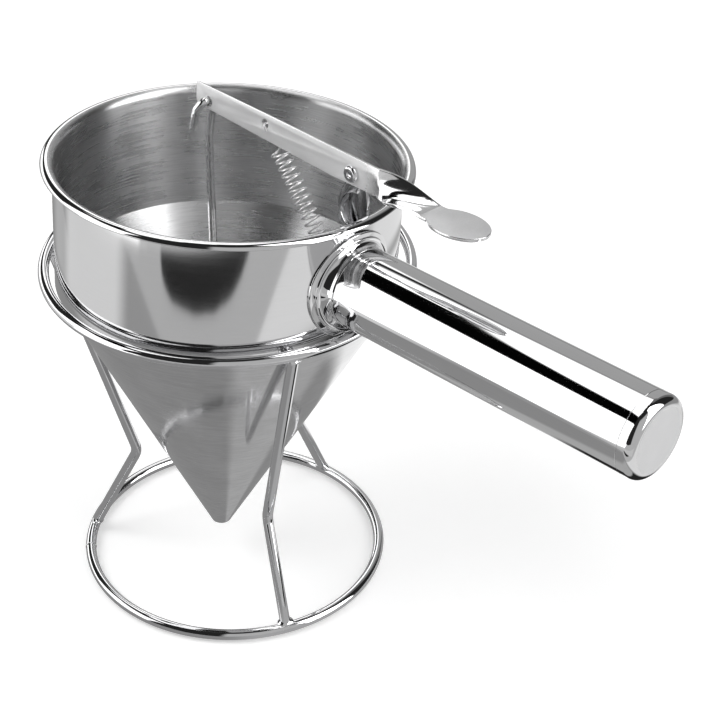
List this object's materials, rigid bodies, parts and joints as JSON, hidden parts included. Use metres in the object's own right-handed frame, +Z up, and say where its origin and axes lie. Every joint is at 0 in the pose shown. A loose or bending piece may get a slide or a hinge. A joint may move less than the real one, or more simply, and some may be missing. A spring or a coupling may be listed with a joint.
{
  "type": "batter dispenser funnel with stand",
  "caption": "Hand-held steel batter funnel with thumb lever, return spring and valve rod, resting in a three-legged wire stand.",
  "frame": {"origin": "on the floor at the axis of the stand's rings, where the base ring rests", "axes": "+Z up; +X along the handle, away from the bowl; +Y to the left of the handle"},
  "size_m": [0.2531, 0.135, 0.1933],
  "materials": {
    "stand_wire": "bright polished round wire",
    "bowl_steel": "mirror polished outside, fine circular brush lines inside",
    "handle_steel": "mirror polished tube",
    "cap_steel": "satin face with a polished rounded edge",
    "bracket_steel": "polished bent sheet",
    "rivet_steel": "polished rivet and washer",
    "lever_steel": "fine satin strip with polished edges",
    "rod_steel": "bright drawn wire and turned plug",
    "spring_steel": "bright spring wire"
  },
  "bodies": {
    "stand": {"stand_base_ring": "stand_wire", "stand_top_ring": "stand_wire", "stand_leg_near": "stand_wire", "stand_leg_back": "stand_wire", "stand_leg_far": "stand_wire"},
    "funnel": {"bowl_wall": "bowl_steel", "funnel_cone": "bowl_steel", "handle_flange": "handle_steel", "handle_tube": "handle_steel", "handle_end_cap": "cap_steel", "pivot_bracket": "bracket_steel", "pivot_washer": "rivet_steel", "pivot_rivet": "rivet_steel", "spring_lug": "bracket_steel", "return_spring": "spring_steel"},
    "lever": {"lever": "lever_steel"},
    "valve": {"valve_rod": "rod_steel", "valve_plug": "rod_steel"}
  },
  "joints": [
    {"name": "funnel_lift", "type": "slide", "parent": "stand", "child": "funnel", "axis": [0, 0, 1], "range_m": [0, 0.14]},
    {"name": "lever_press", "type": "hinge", "parent": "funnel", "child": "lever", "pos_m": [0.058, 0.00244, 0.18594], "axis": [0, 0.9984, -0.0558], "range_deg": [0, 22], "stiffness_Nm_per_rad": 0.2, "springref_deg": -20.05, "deforming": ["return_spring"]},
    {"name": "rod_swing", "type": "hinge", "parent": "lever", "child": "valve", "pos_m": [-0.0104, 0.00254, 0.18774], "axis": [0, 0.9984, -0.0558], "range_deg": [-22, 0]}
  ],
  "couplings": [
    {"joint": "rod_swing", "follows": "lever_press", "ratio": -1}
  ]
}
